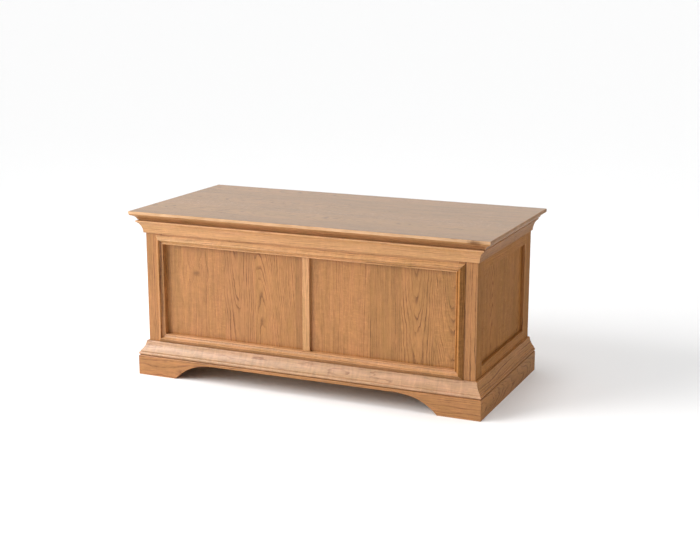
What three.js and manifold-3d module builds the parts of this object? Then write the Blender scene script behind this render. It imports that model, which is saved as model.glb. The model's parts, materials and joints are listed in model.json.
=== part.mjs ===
// Oak blanket chest: a frame-and-panel carcass on a bracket plinth, with a hinged, moulded lid.
// Millimetres, +Z up, +X to the right, front towards -Y. The origin is on the floor, under the
// middle of the object's plan.
import * as THREE from 'three';
import { mergeVertices } from 'three/addons/utils/BufferGeometryUtils.js';
import Module from 'manifold-3d';

const wasm = await Module();
wasm.setup();

// ---- Driving dimensions -------------------------------------------------------------------------
const HEIGHT = 500;
const CARCASS_WIDTH = 1036;
const CARCASS_DEPTH = 500;
const CARCASS_TOP = 472.5;

const LID_UNDERSIDE = 473.5;
const LID_SIDE_OVERHANG = 42;
const LID_FRONT_OVERHANG = 28;
const LID_REAR_OVERHANG = 15;
const LID_EDGE_DEPTH = 19.3;      // how far the edge moulding sweeps in, from the nose to the underside

const POST = 55;                  // square corner posts
const FRAME_THICKNESS = 26;
const PANEL_RECESS = 12;          // panel face behind the face of the frame, front and rear
const SIDE_PANEL_RECESS = 9;      // the same at the sides
const PANEL_THICKNESS = 9;
const GROOVE_DEPTH = 8;
const TONGUE_LENGTH = 7.5;
const FIT = 0.3;                  // clearance where one piece enters or crosses another

const RAIL_UNDERSIDE = 50;
const FRONT_OPENING = [120, 411.5];   // heights of the opening between the front rails
const PLAIN_OPENING = [135, 402];     // the same at the sides and the rear

const PLINTH_TOP = 60;
const PLINTH_REACH = 25;          // how far the plinth stands out from the carcass
const BASE_MOULDING_TOP = 103.5;
const CORNICE_UNDERSIDE = 434.5;
const CORNICE_REACH = 22.3;
const MITRE_GAP = 0.2;

const APRON_UNDERSIDE = 51.5;
const BRACKET_ARC = { centreX: 302, centreZ: -107, radius: 157 };

const PANEL_FRAME_OUTER = { halfWidth: 483, bottom: BASE_MOULDING_TOP, top: 429 };
const PANEL_FRAME_WIDTH = 25;

// The front muntin's face stops short of the moulding, top and bottom; the rear one meets its rails.
const FRONT_MUNTIN = {
  width: 22,
  offset: 6,
  recess: 3,
  face: [PANEL_FRAME_OUTER.bottom + PANEL_FRAME_WIDTH + FIT, PANEL_FRAME_OUTER.top - PANEL_FRAME_WIDTH - FIT],
};
const REAR_MUNTIN = { width: 50, offset: 0, recess: 0, face: PLAIN_OPENING };

const FLOOR_BOARDS = 4;
const FLOOR_TOP = 87;
const FLOOR_THICKNESS = 12;
const CLEAT = 20;

const BATTEN = { x: 300, width: 45, thickness: 18, halfLength: 190, chamfer: 10 };
const BUMPER = { x: 490, y: -222.5, radius: 6, thickness: 0.7 };

const HINGE_X = 380;
const HINGE_WIDTH = 64;
const KNUCKLES = 5;
const KNUCKLE_RADIUS = 4.25;
const KNUCKLE_GAP = 0.4;
const LEAF_THICKNESS = 2;
const LEAF_LENGTH = 25;
const PIN_RADIUS = 2.5;
const HINGE_STANDOFF = 0.25;      // air between a leaf and the wood it is screwed to

const LID_OPENING = 95;           // degrees
const STAY_RADIUS = 180;          // both ends of the stay are this far from the hinge axis
const STAY_PIVOT_DROP = 12;       // lid pivot below the hinge axis
const STAY_STUD_DROP = 55;        // side stud below the hinge axis
const STAY_WIDTH = 16;
const STAY_THICKNESS = 2;
const STUD_RADIUS = 2.8;
const STUD_CLEARANCE = 0.4;

// ---- Derived sizes ------------------------------------------------------------------------------
const HALF_WIDTH = CARCASS_WIDTH / 2;
const HALF_DEPTH = CARCASS_DEPTH / 2;
const INNER_HALF_WIDTH = HALF_WIDTH - FRAME_THICKNESS;
const INNER_HALF_DEPTH = HALF_DEPTH - FRAME_THICKNESS;
const POST_TO_POST_X = HALF_WIDTH - POST;
const POST_TO_POST_Y = HALF_DEPTH - POST;
const PLAN_CENTRE_Y = (LID_FRONT_OVERHANG - LID_REAR_OVERHANG) / 2;
const HINGE_Y = HALF_DEPTH + HINGE_STANDOFF + KNUCKLE_RADIUS;
const HINGE_Z = LID_UNDERSIDE - HINGE_STANDOFF - KNUCKLE_RADIUS;
const QUARTER = Math.PI / 2;

// ---- Materials ----------------------------------------------------------------------------------
const oak = new THREE.MeshStandardMaterial({ color: 0xc08a5a, roughness: 0.45, metalness: 0 });
const oakPanel = new THREE.MeshStandardMaterial({ color: 0xb98352, roughness: 0.5, metalness: 0 });
const oakLid = new THREE.MeshStandardMaterial({ color: 0xbd9470, roughness: 0.35, metalness: 0 });
const secondaryWood = new THREE.MeshStandardMaterial({ color: 0xc9a274, roughness: 0.7, metalness: 0 });
const brass = new THREE.MeshStandardMaterial({ color: 0xb08d4a, roughness: 0.35, metalness: 0.9 });
const steel = new THREE.MeshStandardMaterial({ color: 0x9a9a98, roughness: 0.4, metalness: 0.9 });
const felt = new THREE.MeshStandardMaterial({ color: 0x3a2c22, roughness: 0.95, metalness: 0 });

// ---- Geometry helpers ---------------------------------------------------------------------------
const chest = new THREE.Group();
chest.position.y = PLAN_CENTRE_Y;

function add(name, geometry, material, parent = chest) {
  const mesh = new THREE.Mesh(geometry, material);
  mesh.name = name;
  parent.add(mesh);
  return mesh;
}

function positionOnly(geometry) {
  const bare = geometry.clone();
  bare.deleteAttribute('normal');
  bare.deleteAttribute('uv');
  return mergeVertices(bare, 1e-4);
}

function toSolid(geometry) {
  const merged = positionOnly(geometry);
  return new wasm.Manifold(new wasm.Mesh({
    numProp: 3,
    vertProperties: new Float32Array(merged.attributes.position.array),
    triVerts: new Uint32Array(merged.index.array),
  }));
}

function fromSolid(solid) {
  const mesh = solid.getMesh();
  const geometry = new THREE.BufferGeometry();
  geometry.setAttribute('position', new THREE.BufferAttribute(mesh.vertProperties, 3));
  geometry.setIndex(new THREE.BufferAttribute(mesh.triVerts, 1));
  geometry.computeVertexNormals();
  return geometry;
}

const cut = (geometry, ...tools) =>
  fromSolid(tools.reduce((solid, tool) => solid.subtract(toSolid(tool)), toSolid(geometry)));

const join = (...geometries) =>
  fromSolid(geometries.slice(1).reduce((solid, more) => solid.add(toSolid(more)), toSolid(geometries[0])));

// A box from its ranges along X, Y and Z.
function box([x0, x1], [y0, y1], [z0, z1]) {
  const geometry = new THREE.BoxGeometry(x1 - x0, y1 - y0, z1 - z0);
  return geometry.translate((x0 + x1) / 2, (y0 + y1) / 2, (z0 + z1) / 2);
}

// A rod along X, centred on (y, z).
function rodX([x0, x1], y, z, radius, segments = 24) {
  const geometry = new THREE.CylinderGeometry(radius, radius, x1 - x0, segments);
  return geometry.rotateZ(QUARTER).translate((x0 + x1) / 2, y, z);
}

// A turned piece whose axis is X: profile points are (distance along the axis, radius).
function turnedX(profile, segments = 24) {
  const points = profile.map(([along, radius]) => new THREE.Vector2(radius, along));
  return new THREE.LatheGeometry(points, segments).rotateZ(-QUARTER);
}

// A moulding stick along X. The section is a Shape in (reach, height): reach is measured outwards,
// towards -Y. leftEnd and rightEnd give the x of each end at any point of the section, which makes
// square or mitred ends.
function stick(section, leftEnd, rightEnd) {
  const geometry = new THREE.ExtrudeGeometry(section, { depth: 1, bevelEnabled: false, curveSegments: 10 });
  const position = geometry.attributes.position;
  for (let i = 0; i < position.count; i += 1) {
    const reach = position.getX(i);
    const height = position.getY(i);
    const endAt = position.getZ(i) > 0.5 ? leftEnd : rightEnd;
    position.setXYZ(i, endAt(reach, height), -reach, height);
  }
  return geometry;
}

// The same section run round the front and both sides, mitred at the front corners and cut square
// at the rear.
function runRoundCarcass(name, section, material, shapeFront = (geometry) => geometry) {
  const frontCorner = (reach) => HALF_WIDTH - MITRE_GAP + reach;
  const sideCorner = (reach) => HALF_DEPTH - MITRE_GAP + reach;
  const front = stick(section, (reach) => -frontCorner(reach), frontCorner);
  add(`${name}_front`, shapeFront(front), material).position.y = -HALF_DEPTH;
  const rightSide = stick(section, (reach) => -sideCorner(reach), () => HALF_DEPTH);
  const right = add(`${name}_right`, rightSide, material);
  right.position.x = HALF_WIDTH;
  right.rotation.z = QUARTER;
  const leftSide = stick(section, () => -HALF_DEPTH, sideCorner);
  const left = add(`${name}_left`, leftSide, material);
  left.position.x = -HALF_WIDTH;
  left.rotation.z = -QUARTER;
}

// ---- Corner posts: square, with a full-length groove for each neighbouring frame ----------------
function postSection(sideX, sideY) {
  // Groove walls, measured from the inner corner of the post.
  const walls = (recess) => [POST - recess - PANEL_THICKNESS - FIT, POST - recess + FIT];
  const [x0, x1] = walls(SIDE_PANEL_RECESS);
  const [y0, y1] = walls(PANEL_RECESS);
  const outline = [
    [0, 0], [x0, 0], [x0, GROOVE_DEPTH], [x1, GROOVE_DEPTH], [x1, 0],
    [POST, 0], [POST, POST],
    [0, POST], [0, y1], [GROOVE_DEPTH, y1], [GROOVE_DEPTH, y0], [0, y0],
  ];
  return new THREE.Shape(outline.map(([x, y]) => new THREE.Vector2(sideX * x, sideY * y)));
}

function addPosts() {
  for (const [endName, sideY] of [['front', -1], ['rear', 1]]) {
    for (const [sideName, sideX] of [['left', -1], ['right', 1]]) {
      const settings = { depth: CARCASS_TOP, bevelEnabled: false };
      const geometry = new THREE.ExtrudeGeometry(postSection(sideX, sideY), settings);
      const post = add(`post_${endName}_${sideName}`, geometry, oak);
      post.position.set(sideX * POST_TO_POST_X, sideY * POST_TO_POST_Y, 0);
    }
  }
}

// ---- Frame and panels ---------------------------------------------------------------------------
// Each frame is made as the front one: X along it, Y inwards from its outer face, Z up.
const tongueAt = (recess) => [recess, recess + PANEL_THICKNESS];
const grooveAt = (recess) => [recess - FIT, recess + PANEL_THICKNESS + FIT];

function railGeometry(halfLength, [z0, z1], recess, grooveHeights, mortises) {
  const end = halfLength + TONGUE_LENGTH;
  const outside = [-1, recess];
  const inside = [recess + PANEL_THICKNESS, FRAME_THICKNESS + 1];
  const allHeights = [z0 - 1, z1 + 1];
  const shoulders = [[-end - 1, -halfLength], [halfLength, end + 1]].flatMap(
    (span) => [box(span, outside, allHeights), box(span, inside, allHeights)],
  );
  const groove = box([-end - 1, end + 1], grooveAt(recess), grooveHeights);
  return cut(box([-end, end], [0, FRAME_THICKNESS], [z0, z1]), ...shoulders, groove, ...mortises);
}

function muntinGeometry({ width, offset, recess, face }, [z0, z1]) {
  const half = width / 2;
  const x = [offset - half, offset + half];
  const front = box(x, [recess, PANEL_RECESS], face);
  const body = box(x, [PANEL_RECESS, FRAME_THICKNESS], [z0, z1]);
  const tongue = box(x, tongueAt(PANEL_RECESS), [z0 - TONGUE_LENGTH, z1 + TONGUE_LENGTH]);
  const groove = grooveAt(PANEL_RECESS);
  const allHeights = [z0 - GROOVE_DEPTH - 1, z1 + GROOVE_DEPTH + 1];
  const leftGroove = box([x[0] - 1, x[0] + GROOVE_DEPTH], groove, allHeights);
  const rightGroove = box([x[1] - GROOVE_DEPTH, x[1] + 1], groove, allHeights);
  return cut(join(body, front, tongue), leftGroove, rightGroove);
}

function addPanel(name, [x0, x1], [z0, z1], recess, group) {
  const heights = [z0 - TONGUE_LENGTH, z1 + TONGUE_LENGTH];
  const widths = [x0 - TONGUE_LENGTH, x1 + TONGUE_LENGTH];
  add(name, box(widths, tongueAt(recess), heights), oakPanel, group);
}

function addFrame(name, halfLength, opening, recess, muntin, mortises = []) {
  const group = new THREE.Group();
  chest.add(group);
  const [z0, z1] = opening;
  const topGroove = [z1 - 1, z1 + GROOVE_DEPTH];
  const bottomGroove = [z0 - GROOVE_DEPTH, z0 + 1];
  const top = railGeometry(halfLength, [z1, CARCASS_TOP], recess, topGroove, mortises);
  const bottom = railGeometry(halfLength, [RAIL_UNDERSIDE, z0], recess, bottomGroove, []);
  add(`rail_${name}_top`, top, oak, group);
  add(`rail_${name}_bottom`, bottom, oak, group);
  if (muntin) {
    const left = muntin.offset - muntin.width / 2;
    const right = muntin.offset + muntin.width / 2;
    add(`muntin_${name}`, muntinGeometry(muntin, opening), oak, group);
    addPanel(`panel_${name}_left`, [-halfLength, left], opening, recess, group);
    addPanel(`panel_${name}_right`, [right, halfLength], opening, recess, group);
  } else {
    addPanel(`panel_${name}`, [-halfLength, halfLength], opening, recess, group);
  }
  return group;
}

function addFrames() {
  const front = addFrame('front', POST_TO_POST_X, FRONT_OPENING, PANEL_RECESS, FRONT_MUNTIN);
  front.position.y = -HALF_DEPTH;

  const right = addFrame('right', POST_TO_POST_Y, PLAIN_OPENING, SIDE_PANEL_RECESS, null);
  right.position.x = HALF_WIDTH;
  right.rotation.z = QUARTER;

  const left = addFrame('left', POST_TO_POST_Y, PLAIN_OPENING, SIDE_PANEL_RECESS, null);
  left.position.x = -HALF_WIDTH;
  left.rotation.z = -QUARTER;

  // The lid leaves of the hinges lie in shallow mortises across the top of the rear rail.
  const mortiseFloor = LID_UNDERSIDE - HINGE_STANDOFF - LEAF_THICKNESS - KNUCKLE_GAP;
  const halfMortise = HINGE_WIDTH / 2 + KNUCKLE_GAP;
  const mortises = [-HINGE_X, HINGE_X].map((x) => box(
    [x - halfMortise, x + halfMortise],
    [-1, FRAME_THICKNESS + 1],
    [mortiseFloor, CARCASS_TOP + 1],
  ));
  const rear = addFrame('rear', POST_TO_POST_X, PLAIN_OPENING, PANEL_RECESS, REAR_MUNTIN, mortises);
  rear.position.y = HALF_DEPTH;
  rear.rotation.z = Math.PI;
}

// ---- Bolection moulding round the front panels --------------------------------------------------
// Section in (reach from the carcass face, distance in from the outer edge of the frame): a straight
// slope from the outer edge to a ridge, a hollow falling from it, and a bead at the inner edge.
function bolectionSection() {
  const bead = { reach: 2.2, inwards: PANEL_FRAME_WIDTH - 2.4, radius: 2.4 };
  const openingEdge = PANEL_FRAME_OUTER.halfWidth - POST_TO_POST_X + FIT;
  const panelFace = -PANEL_RECESS + FIT;
  const shape = new THREE.Shape();
  shape.moveTo(FIT, 0);
  shape.lineTo(2.4, 0);
  shape.lineTo(10.9, 9.8);
  shape.quadraticCurveTo(12.9, 12.1, 11.1, 13);
  shape.quadraticCurveTo(4.6, 14.2, 2.6, PANEL_FRAME_WIDTH - 5);
  shape.absarc(bead.reach, bead.inwards, bead.radius, -1.35, QUARTER, false);
  shape.lineTo(panelFace, PANEL_FRAME_WIDTH);
  shape.lineTo(panelFace, openingEdge);
  shape.lineTo(FIT, openingEdge);
  shape.closePath();
  return shape;
}

// One side of the frame, running along X, its outer edge on the X axis and its inner edge above it.
function bolectionSide(halfLength) {
  const mitre = (reach, inwards) => halfLength - MITRE_GAP - inwards;
  return stick(bolectionSection(), (reach, inwards) => -mitre(reach, inwards), mitre);
}

function addBolection() {
  const { halfWidth, bottom, top } = PANEL_FRAME_OUTER;
  const halfHeight = (top - bottom) / 2;
  const group = new THREE.Group();
  group.position.set(0, -HALF_DEPTH, (top + bottom) / 2);
  chest.add(group);
  const sides = [
    ['bottom', halfWidth, 0, -halfHeight, 0],
    ['right', halfHeight, halfWidth, 0, -1],
    ['top', halfWidth, 0, halfHeight, 2],
    ['left', halfHeight, -halfWidth, 0, 1],
  ];
  for (const [name, halfLength, x, z, quarterTurns] of sides) {
    const side = add(`panel_moulding_${name}`, bolectionSide(halfLength), oak, group);
    side.position.set(x, 0, z);
    side.rotation.y = quarterTurns * QUARTER;
  }
}

// ---- Cornice, base moulding and plinth ----------------------------------------------------------
function corniceSection() {
  const lip = { reach: 5.6, top: 437.5 };
  const fillet = 3.7;
  const coveTop = CARCASS_TOP - fillet;
  const shape = new THREE.Shape();
  shape.moveTo(0, CORNICE_UNDERSIDE);
  shape.lineTo(lip.reach - 1, CORNICE_UNDERSIDE);
  shape.quadraticCurveTo(lip.reach + 0.6, CORNICE_UNDERSIDE + 1.2, lip.reach, lip.top);
  shape.quadraticCurveTo(lip.reach + 2.4, 459, CORNICE_REACH - 1.4, coveTop);
  shape.lineTo(CORNICE_REACH, coveTop);
  shape.lineTo(CORNICE_REACH, CARCASS_TOP - 0.8);
  shape.lineTo(CORNICE_REACH - 0.8, CARCASS_TOP);
  shape.lineTo(0, CARCASS_TOP);
  shape.closePath();
  return shape;
}

function baseMouldingSection() {
  const bead = { reach: 20.1, z: 65.8, radius: 4.8 };
  const slopeTop = { reach: 7.3, z: 98.5 };
  const slopeBottom = { reach: 21.4, z: 73.2 };
  const shape = new THREE.Shape();
  shape.moveTo(0, PLINTH_TOP);
  shape.lineTo(bead.reach, PLINTH_TOP);
  shape.absarc(bead.reach, bead.z, bead.radius, -QUARTER, QUARTER, false);
  shape.lineTo(slopeBottom.reach, slopeBottom.z);
  shape.quadraticCurveTo(9.8, 84.5, slopeTop.reach, slopeTop.z);
  shape.quadraticCurveTo(slopeTop.reach, BASE_MOULDING_TOP, 3.5, BASE_MOULDING_TOP);
  shape.lineTo(0, BASE_MOULDING_TOP);
  shape.closePath();
  return shape;
}

function plinthSection() {
  const edgeRadius = 3;
  const shape = new THREE.Shape();
  shape.moveTo(0, 0);
  shape.lineTo(PLINTH_REACH, 0);
  shape.lineTo(PLINTH_REACH, PLINTH_TOP - edgeRadius);
  shape.absarc(PLINTH_REACH - edgeRadius, PLINTH_TOP - edgeRadius, edgeRadius, 0, QUARTER, false);
  shape.lineTo(0, PLINTH_TOP);
  shape.closePath();
  return shape;
}

// The opening under the apron: a flat top with an arc sweeping down to each bracket foot.
function archCutter() {
  const { centreX, centreZ, radius } = BRACKET_ARC;
  const below = -2;
  const footAngle = Math.asin((below - centreZ) / radius);
  const shape = new THREE.Shape();
  shape.absarc(-centreX, centreZ, radius, Math.PI - footAngle, QUARTER, true);
  shape.lineTo(-centreX, APRON_UNDERSIDE);
  shape.lineTo(centreX, APRON_UNDERSIDE);
  shape.absarc(centreX, centreZ, radius, QUARTER, footAngle, true);
  shape.closePath();
  const throughBoard = PLINTH_REACH + 2;
  const settings = { depth: throughBoard, bevelEnabled: false, curveSegments: 16 };
  return new THREE.ExtrudeGeometry(shape, settings).rotateX(QUARTER).translate(0, 1, 0);
}

function addMouldings() {
  runRoundCarcass('cornice', corniceSection(), oak);
  runRoundCarcass('base_moulding', baseMouldingSection(), oak);
  runRoundCarcass('plinth', plinthSection(), oak, (front) => cut(front, archCutter()));
}

// ---- Floor: loose boards on cleats screwed to the bottom rails ----------------------------------
function addFloor() {
  const heights = [FLOOR_TOP - FLOOR_THICKNESS, FLOOR_TOP];
  const halfLength = INNER_HALF_WIDTH - 1;
  const halfDepth = INNER_HALF_DEPTH - 0.5;
  const pitch = (2 * halfDepth) / FLOOR_BOARDS;
  const postClear = 0.5;
  const notches = [-1, 1].flatMap((sideX) => [-1, 1].map((sideY) => {
    const x = [POST_TO_POST_X - postClear, HALF_WIDTH].map((value) => value * sideX).sort((a, b) => a - b);
    const y = [POST_TO_POST_Y - postClear, HALF_DEPTH].map((value) => value * sideY).sort((a, b) => a - b);
    return box(x, y, [heights[0] - 1, heights[1] + 1]);
  }));
  for (let i = 0; i < FLOOR_BOARDS; i += 1) {
    const y0 = -halfDepth + i * pitch;
    const board = box([-halfLength, halfLength], [y0 + FIT, y0 + pitch - FIT], heights);
    const atWall = i === 0 || i === FLOOR_BOARDS - 1;
    add(`floor_board_${i + 1}`, atWall ? cut(board, ...notches) : board, secondaryWood);
  }

  const cleatHeights = [heights[0] - CLEAT, heights[0]];
  const long = [-POST_TO_POST_X + 3, POST_TO_POST_X - 3];
  const short = [-POST_TO_POST_Y + 1, POST_TO_POST_Y - 1];
  const wallX = INNER_HALF_WIDTH;
  const wallY = INNER_HALF_DEPTH;
  add('floor_cleat_front', box(long, [-wallY, -wallY + CLEAT], cleatHeights), secondaryWood);
  add('floor_cleat_rear', box(long, [wallY - CLEAT, wallY], cleatHeights), secondaryWood);
  add('floor_cleat_left', box([-wallX, -wallX + CLEAT], short, cleatHeights), secondaryWood);
  add('floor_cleat_right', box([wallX - CLEAT, wallX], short, cleatHeights), secondaryWood);
}

// ---- Lid ----------------------------------------------------------------------------------------
// The edge profile is turned on four segments, which makes a square with mitred corners, and the
// square is then drawn out to the lid's length and depth. The rear edge is sawn off square.
function lidGeometry() {
  const core = 2;                                    // half side of the square at the underside
  const noseReach = core + LID_EDGE_DEPTH;
  const nose = { straightFrom: HEIGHT - 5.5, foot: noseReach - 4.5, footZ: HEIGHT - 12.7, arris: 1.5 };
  const edge = new THREE.Path();
  edge.moveTo(0, LID_UNDERSIDE);
  edge.lineTo(core, LID_UNDERSIDE);
  edge.lineTo(core, LID_UNDERSIDE + 0.8);
  edge.quadraticCurveTo(noseReach - 15, HEIGHT - 15.5, nose.foot, nose.footZ);
  edge.quadraticCurveTo(noseReach, HEIGHT - 10.5, noseReach, nose.straightFrom);
  edge.lineTo(noseReach, HEIGHT - nose.arris);
  edge.quadraticCurveTo(noseReach, HEIGHT, noseReach - nose.arris, HEIGHT);
  edge.lineTo(0, HEIGHT);

  const points = edge.getPoints(8).map(({ x, y }) => new THREE.Vector2(x * Math.SQRT2, y));
  const geometry = new THREE.LatheGeometry(points, 4).rotateX(QUARTER).rotateZ(Math.PI / 4);

  const halfLength = HALF_WIDTH + LID_SIDE_OVERHANG - noseReach;
  const toFront = HALF_DEPTH + LID_FRONT_OVERHANG - noseReach;
  const toRear = HALF_DEPTH + LID_REAR_OVERHANG + 10;
  const position = geometry.attributes.position;
  const drawnOut = (value, before, after) => {
    if (Math.abs(value) < 0.01) return 0;
    return value < 0 ? value - before : value + after;
  };
  for (let i = 0; i < position.count; i += 1) {
    position.setX(i, drawnOut(position.getX(i), halfLength, halfLength));
    position.setY(i, drawnOut(position.getY(i), toFront, toRear));
  }
  const rearEdge = HALF_DEPTH + LID_REAR_OVERHANG;
  const waste = box([-2 * HALF_WIDTH, 2 * HALF_WIDTH], [rearEdge, rearEdge + POST], [0, 2 * HEIGHT]);
  return cut(geometry, waste);
}

function addLid() {
  add('lid', lidGeometry(), oakLid);

  const { x, width, thickness, halfLength, chamfer } = BATTEN;
  const low = LID_UNDERSIDE - thickness;
  const outline = new THREE.Shape([
    new THREE.Vector2(-halfLength, LID_UNDERSIDE),
    new THREE.Vector2(-halfLength, LID_UNDERSIDE - thickness + chamfer),
    new THREE.Vector2(-halfLength + chamfer, low),
    new THREE.Vector2(halfLength - chamfer, low),
    new THREE.Vector2(halfLength, LID_UNDERSIDE - thickness + chamfer),
    new THREE.Vector2(halfLength, LID_UNDERSIDE),
  ]);
  for (const [side, sign] of [['left', -1], ['right', 1]]) {
    const batten = new THREE.ExtrudeGeometry(outline, { depth: width, bevelEnabled: false });
    batten.rotateX(QUARTER).rotateZ(QUARTER).translate(sign * x - width / 2, 0, 0);
    add(`lid_batten_${side}`, batten, oak);

    const pad = new THREE.CylinderGeometry(BUMPER.radius, BUMPER.radius, BUMPER.thickness, 24);
    pad.rotateX(QUARTER).translate(sign * BUMPER.x, BUMPER.y, LID_UNDERSIDE - BUMPER.thickness / 2);
    add(`lid_bumper_${side}`, pad, felt);
  }
}

// ---- Butt hinges --------------------------------------------------------------------------------
// The rear leaf is screwed flat on the back of the rear rail, the lid leaf to the lid's underside.
function hingeLeaf(centreX, plateRanges, tongueRanges, firstKnuckle) {
  const pitch = HINGE_WIDTH / KNUCKLES;
  const span = [centreX - HINGE_WIDTH / 2, centreX + HINGE_WIDTH / 2];
  const pieces = [box(span, ...plateRanges)];
  for (let i = firstKnuckle; i < KNUCKLES; i += 2) {
    const x = [span[0] + i * pitch + KNUCKLE_GAP / 2, span[0] + (i + 1) * pitch - KNUCKLE_GAP / 2];
    pieces.push(box(x, ...tongueRanges), rodX(x, HINGE_Y, HINGE_Z, KNUCKLE_RADIUS));
  }
  const bore = rodX([span[0] - 1, span[1] + 1], HINGE_Y, HINGE_Z, PIN_RADIUS + FIT);
  return cut(join(...pieces), bore);
}

function addHinges() {
  const reach = KNUCKLE_RADIUS + KNUCKLE_GAP;
  const rearFace = HINGE_Y - KNUCKLE_RADIUS;
  const lidFace = HINGE_Z + KNUCKLE_RADIUS;
  const rearPlate = [
    [rearFace, rearFace + LEAF_THICKNESS],
    [HINGE_Z - reach - LEAF_LENGTH, HINGE_Z - reach],
  ];
  const rearTongue = [rearPlate[0], [HINGE_Z - reach - 1, HINGE_Z]];
  const lidPlate = [
    [HINGE_Y - reach - LEAF_LENGTH, HINGE_Y - reach],
    [lidFace - LEAF_THICKNESS, lidFace],
  ];
  const lidTongue = [[HINGE_Y - reach - 1, HINGE_Y], lidPlate[1]];
  for (const [side, sign] of [['left', -1], ['right', 1]]) {
    const x = sign * HINGE_X;
    const half = HINGE_WIDTH / 2;
    add(`hinge_${side}_rear_leaf`, hingeLeaf(x, rearPlate, rearTongue, 0), brass);
    add(`hinge_${side}_lid_leaf`, hingeLeaf(x, lidPlate, lidTongue, 1), brass);
    const pin = turnedX([
      [-half - 1.5, 0], [-half - 1.5, PIN_RADIUS - 0.8], [-half - 0.7, PIN_RADIUS],
      [half + 0.7, PIN_RADIUS], [half + 1.5, PIN_RADIUS - 0.8], [half + 1.5, 0],
    ]);
    add(`hinge_${side}_pin`, pin, brass).position.set(x, HINGE_Y, HINGE_Z);
  }
}

// ---- Lid stays ----------------------------------------------------------------------------------
// A slotted arm hangs from a bracket on the lid and slides over a stud on the side rail. The pivot and
// the stud are equally far from the hinge axis, so the arm turns by half the lid's angle.
const pointBelowHinge = (drop) => ({
  y: HINGE_Y - Math.sqrt(STAY_RADIUS ** 2 - drop ** 2),
  z: HINGE_Z - drop,
  angle: Math.asin(drop / STAY_RADIUS),
});
const PIVOT = pointBelowHinge(STAY_PIVOT_DROP);
const STUD = pointBelowHinge(STAY_STUD_DROP);
const ARM_X = INNER_HALF_WIDTH - 6.5;                  // outer face of the arm, near the side rail

function armGeometry() {
  const closedAngle = STUD.angle - PIVOT.angle;
  const openAngle = closedAngle + THREE.MathUtils.degToRad(LID_OPENING);
  const reachAt = (angle) => 2 * STAY_RADIUS * Math.sin(angle / 2);
  const slotStart = reachAt(closedAngle);
  const slotEnd = reachAt(openAngle);
  const end = slotEnd + STAY_WIDTH / 2 + 3;
  const half = STAY_WIDTH / 2;
  const slotHalf = STUD_RADIUS + STUD_CLEARANCE;

  const outline = new THREE.Shape();
  outline.absarc(0, 0, half, QUARTER, 3 * QUARTER, false);
  outline.absarc(end - half, 0, half, -QUARTER, QUARTER, false);
  outline.closePath();
  const slot = new THREE.Path();
  slot.absarc(slotStart, 0, slotHalf, QUARTER, 3 * QUARTER, false);
  slot.absarc(slotEnd, 0, slotHalf, -QUARTER, QUARTER, false);
  slot.closePath();
  const hole = new THREE.Path();
  hole.absarc(0, 0, slotHalf, 0, 2 * Math.PI, false);
  outline.holes.push(slot, hole);
  const settings = { depth: STAY_THICKNESS, bevelEnabled: false, curveSegments: 12 };
  // Flat in the YZ plane: the arm runs along +Y, its thickness along +X.
  return new THREE.ExtrudeGeometry(outline, settings).rotateX(QUARTER).rotateZ(QUARTER);
}

// A headed pin along X, from x = 0 to its head at x = length.
const headedPin = (length, headRadius, headThickness) => turnedX([
  [0, 0], [0, STUD_RADIUS], [length - headThickness, STUD_RADIUS], [length - headThickness, headRadius],
  [length - 0.6, headRadius], [length, headRadius - 0.8], [length, 0],
]);

function lidBracketGeometry(side) {
  const ordered = (a, b) => (a < b ? [a, b] : [b, a]);
  const earOuter = ARM_X - STAY_THICKNESS - 0.8;
  const earInner = earOuter - STAY_THICKNESS;
  const y = [PIVOT.y - 11, PIVOT.y + 11];
  const plate = box(ordered(side * (earInner - 20), side * earOuter), y,
    [LID_UNDERSIDE - STAY_THICKNESS, LID_UNDERSIDE]);
  const ear = box(ordered(side * earInner, side * earOuter), y, [PIVOT.z, LID_UNDERSIDE - 1]);
  const lobe = rodX(ordered(side * earInner, side * earOuter), PIVOT.y, PIVOT.z, 8);
  const cheek = box(ordered(side * earInner, side * earOuter), [PIVOT.y - 8, PIVOT.y + 8],
    [PIVOT.z, LID_UNDERSIDE - 1]);
  const pin = headedPin(INNER_HALF_WIDTH - 2 - earInner - 0.5, 5, 2);
  if (side < 0) pin.rotateZ(Math.PI);
  pin.translate(side * (earInner + 0.5), PIVOT.y, PIVOT.z);
  const corner = box(ordered(side * (earInner - 1), side * (earOuter + 1)), [y[0] - 1, PIVOT.y - 8],
    [PIVOT.z - 1, LID_UNDERSIDE - STAY_THICKNESS - 4]);
  const farCorner = corner.clone().translate(0, PIVOT.y + 8 - (y[0] - 1), 0);
  return join(cut(ear, corner, farCorner), cheek, lobe, plate, pin);
}

function studGeometry(side) {
  const flange = 2.4;
  const inward = INNER_HALF_WIDTH - ARM_X + STAY_THICKNESS + 3.2;   // wall to the stud's inner end
  const stud = turnedX([
    [0, 0], [0, 7], [flange - 0.6, 7], [flange, 6.2], [flange, STUD_RADIUS],
    [inward - 2.2, STUD_RADIUS], [inward - 2.2, 5.4], [inward - 0.7, 5.4], [inward, 4.4], [inward, 0],
  ]);
  if (side > 0) stud.rotateZ(Math.PI);
  return stud;
}

function addStays() {
  const armAngle = Math.atan2(STUD.z - PIVOT.z, STUD.y - PIVOT.y);
  for (const [name, side] of [['left', -1], ['right', 1]]) {
    const arm = add(`stay_${name}_arm`, armGeometry(), steel);
    arm.position.set(side > 0 ? ARM_X - STAY_THICKNESS : -ARM_X, PIVOT.y, PIVOT.z);
    arm.rotation.x = armAngle;
    add(`stay_${name}_lid_bracket`, lidBracketGeometry(side), steel);
    const stud = add(`stay_${name}_stud`, studGeometry(side), steel);
    stud.position.set(side * INNER_HALF_WIDTH, STUD.y, STUD.z);
  }
}

addPosts();
addFrames();
addBolection();
addMouldings();
addFloor();
addLid();
addHinges();
addStays();

export default chest;
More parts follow.
